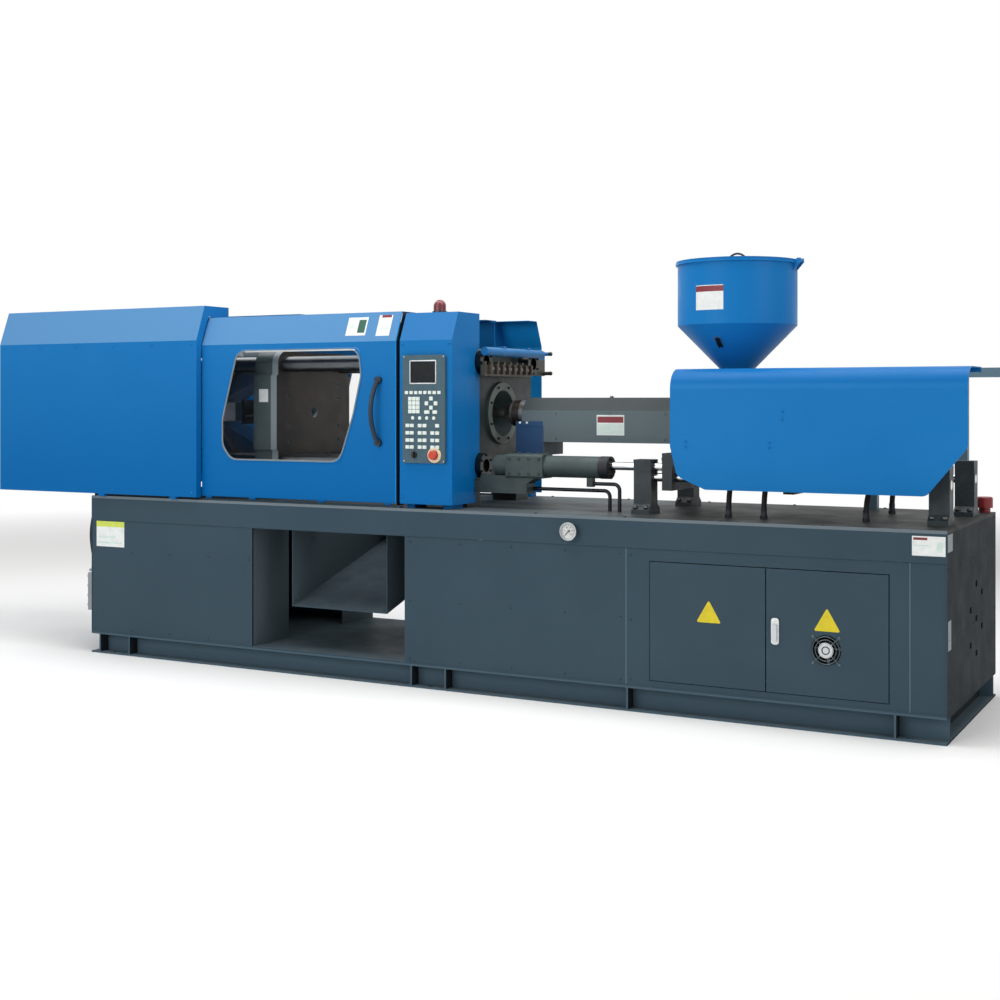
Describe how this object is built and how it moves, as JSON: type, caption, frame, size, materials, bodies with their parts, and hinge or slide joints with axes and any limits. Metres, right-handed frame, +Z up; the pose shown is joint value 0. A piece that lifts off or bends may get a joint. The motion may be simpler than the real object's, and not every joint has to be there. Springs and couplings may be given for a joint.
{
  "type": "injection moulding machine",
  "caption": "Horizontal plastics injection moulding machine: toggle clamp under folded covers, sliding safety doors, control cabinet, injection carriage with hopper, all on a welded box base.",
  "frame": {"origin": "on the floor at the centre of the base plinth", "axes": "+X along the machine from the clamp to the injection unit, -Y towards the operator, +Z up"},
  "size_m": [4.852, 1.076, 1.8824],
  "materials": {
    "blue_paint": "satin paint",
    "slate_paint": "satin paint",
    "dark_paint": "matte paint",
    "grey_paint": "satin paint",
    "light_paint": "satin paint",
    "duct_grey": "satin paint",
    "guard_grey": "satin paint",
    "bare_steel": "machined",
    "ground_rod": "ground and chromed",
    "black_plastic": "moulded",
    "panel_plastic": "moulded",
    "red_plastic": "moulded",
    "dark_red_lens": "moulded lens",
    "dark_red_plastic": "moulded",
    "hose_rubber": "smooth rubber",
    "clear_sheet": "clear sheet",
    "cast_dark": "painted casting",
    "dial_white": "printed dial"
  },
  "bodies": {
    "base": {"base_frame": "slate_paint", "deck_plate": "slate_paint", "base_panels": "slate_paint", "cabinet_surround": "slate_paint", "mounting_plate": "light_paint", "discharge_chute": "slate_paint", "oil_tank": "dark_paint", "pump_unit": "dark_paint", "pressure_gauge": "black_plastic", "oil_filler_cap": "dark_red_plastic", "water_manifold": "bare_steel", "clamp_cover": "blue_paint", "stationary_platen": "grey_paint", "tie_bars": "ground_rod", "control_cabinet": "blue_paint", "control_panel": "panel_plastic", "alarm_lamp": "dark_red_lens", "back_cover": "blue_paint", "valve_manifold": "grey_paint", "hydraulic_pipes": "bare_steel", "carriage_cylinders": "cast_dark", "carriage_supports": "cast_dark", "guide_rods": "ground_rod", "cable_tray": "duct_grey", "hoses": "hose_rubber"},
    "tail": {"tail_platen": "grey_paint", "clamp_cylinder": "dark_paint", "adjusting_nuts": "bare_steel"},
    "moving": {"moving_platen": "grey_paint", "ejector_cylinder": "dark_paint"},
    "crosshead": {"crosshead": "bare_steel"},
    "upper_rear": {"upper_rear_links": "bare_steel"},
    "lower_rear": {"lower_rear_links": "bare_steel"},
    "upper_front": {"upper_front_link": "bare_steel"},
    "lower_front": {"lower_front_link": "bare_steel"},
    "upper_crosshead_link": {"upper_crosshead_links": "bare_steel"},
    "lower_crosshead_link": {"lower_crosshead_links": "bare_steel"},
    "ejector": {"ejector_plate": "bare_steel"},
    "front_guard": {"front_door": "blue_paint", "front_door_window": "clear_sheet", "front_door_handle": "black_plastic"},
    "rear_guard": {"rear_door": "blue_paint", "rear_door_window": "clear_sheet"},
    "carriage": {"carriage_frame": "cast_dark", "carriage_rods": "ground_rod", "barrel": "bare_steel", "barrel_cover": "guard_grey", "injection_cover": "blue_paint", "hopper": "blue_paint"},
    "drive": {"injection_drive": "dark_paint"},
    "screw": {"screw": "bare_steel"},
    "lid": {"hopper_lid": "blue_paint"},
    "left_door": {"left_cabinet_door": "slate_paint"},
    "right_door": {"right_cabinet_door": "slate_paint", "fan_guard": "bare_steel"},
    "lock": {"door_lock": "ground_rod"},
    "fan": {"fan_rotor": "black_plastic"},
    "stop_button": {"emergency_stop": "red_plastic"},
    "selector": {"selector_knob": "black_plastic"},
    "needle": {"gauge_needle": "black_plastic"}
  },
  "joints": [
    {"name": "platen_slide", "type": "slide", "parent": "tail", "child": "moving", "axis": [1, 0, 0], "range_m": [0, 0.38522]},
    {"name": "mould_height_slide", "type": "slide", "parent": "base", "child": "tail", "axis": [1, 0, 0], "range_m": [0, 0.3]},
    {"name": "crosshead_slide", "type": "slide", "parent": "tail", "child": "crosshead", "axis": [1, 0, 0], "range_m": [0, 0.3078]},
    {"name": "upper_rear_pivot", "type": "hinge", "parent": "tail", "child": "upper_rear", "pos_m": [-1.50295, 0, 1.465], "axis": [0, -1, 0], "range_deg": [0, 121.38]},
    {"name": "upper_front_pivot", "type": "hinge", "parent": "moving", "child": "upper_front", "pos_m": [-1.335, 0, 1.42], "axis": [0, 1, 0], "range_deg": [0, 29.19]},
    {"name": "upper_crosshead_pivot", "type": "hinge", "parent": "crosshead", "child": "upper_crosshead_link", "pos_m": [-1.70443, 0, 1.29], "axis": [0, -1, 0], "range_deg": [0, 15.57]},
    {"name": "lower_rear_pivot", "type": "hinge", "parent": "tail", "child": "lower_rear", "pos_m": [-1.50295, 0, 0.925], "axis": [0, 1, 0], "range_deg": [0, 121.38]},
    {"name": "lower_front_pivot", "type": "hinge", "parent": "moving", "child": "lower_front", "pos_m": [-1.335, 0, 0.97], "axis": [0, -1, 0], "range_deg": [0, 29.19]},
    {"name": "lower_crosshead_pivot", "type": "hinge", "parent": "crosshead", "child": "lower_crosshead_link", "pos_m": [-1.70443, 0, 1.1], "axis": [0, 1, 0], "range_deg": [0, 15.57]},
    {"name": "ejector_slide", "type": "slide", "parent": "moving", "child": "ejector", "axis": [1, 0, 0], "range_m": [0, 0.12]},
    {"name": "front_guard_slide", "type": "slide", "parent": "base", "child": "front_guard", "axis": [-1, 0, 0], "range_m": [0, 0.7]},
    {"name": "rear_guard_slide", "type": "slide", "parent": "base", "child": "rear_guard", "axis": [-1, 0, 0], "range_m": [0, 0.7]},
    {"name": "carriage_slide", "type": "slide", "parent": "base", "child": "carriage", "axis": [1, 0, 0], "range_m": [-0.045, 0.22]},
    {"name": "injection_slide", "type": "slide", "parent": "carriage", "child": "drive", "axis": [1, 0, 0], "range_m": [0, 0.2]},
    {"name": "screw_turn", "type": "hinge", "parent": "drive", "child": "screw", "pos_m": [1.706, 0, 1.195], "axis": [1, 0, 0], "continuous": true},
    {"name": "lid_hinge", "type": "hinge", "parent": "carriage", "child": "lid", "pos_m": [1.3815, 0, 1.8383], "axis": [0, 1, 0], "range_deg": [0, 105]},
    {"name": "left_door_hinge", "type": "hinge", "parent": "base", "child": "left_door", "pos_m": [0.942, -0.5, 0.371], "axis": [0, 0, -1], "range_deg": [0, 110]},
    {"name": "right_door_hinge", "type": "hinge", "parent": "base", "child": "right_door", "pos_m": [1.842, -0.5, 0.371], "axis": [0, 0, 1], "range_deg": [0, 110]},
    {"name": "lock_turn", "type": "hinge", "parent": "right_door", "child": "lock", "pos_m": [1.435, -0.5, 0.373], "axis": [0, 1, 0], "range_deg": [0, 90]},
    {"name": "fan_spin", "type": "hinge", "parent": "right_door", "child": "fan", "pos_m": [1.6325, -0.49, 0.3115], "axis": [0, 1, 0], "continuous": true},
    {"name": "stop_press", "type": "slide", "parent": "base", "child": "stop_button", "axis": [0, 1, 0], "range_m": [0, 0.005]},
    {"name": "selector_turn", "type": "hinge", "parent": "base", "child": "selector", "pos_m": [-0.192, -0.5, 1.016], "axis": [0, 1, 0], "range_deg": [-45, 45]},
    {"name": "needle_turn", "type": "hinge", "parent": "base", "child": "needle", "pos_m": [0.568, -0.54, 0.716], "axis": [0, 1, 0], "range_deg": [0, 270], "stiffness_Nm_per_rad": 0.001}
  ],
  "couplings": [
    {"joint": "crosshead_slide", "follows": "platen_slide", "ratio": 0.79849},
    {"joint": "upper_rear_pivot", "follows": "platen_slide", "rad_per_m": 5.498},
    {"joint": "upper_front_pivot", "follows": "platen_slide", "rad_per_m": 1.3223},
    {"joint": "upper_crosshead_pivot", "follows": "platen_slide", "rad_per_m": 0.70546},
    {"joint": "lower_rear_pivot", "follows": "platen_slide", "rad_per_m": 5.498},
    {"joint": "lower_front_pivot", "follows": "platen_slide", "rad_per_m": 1.3223},
    {"joint": "lower_crosshead_pivot", "follows": "platen_slide", "rad_per_m": 0.70546}
  ]
}
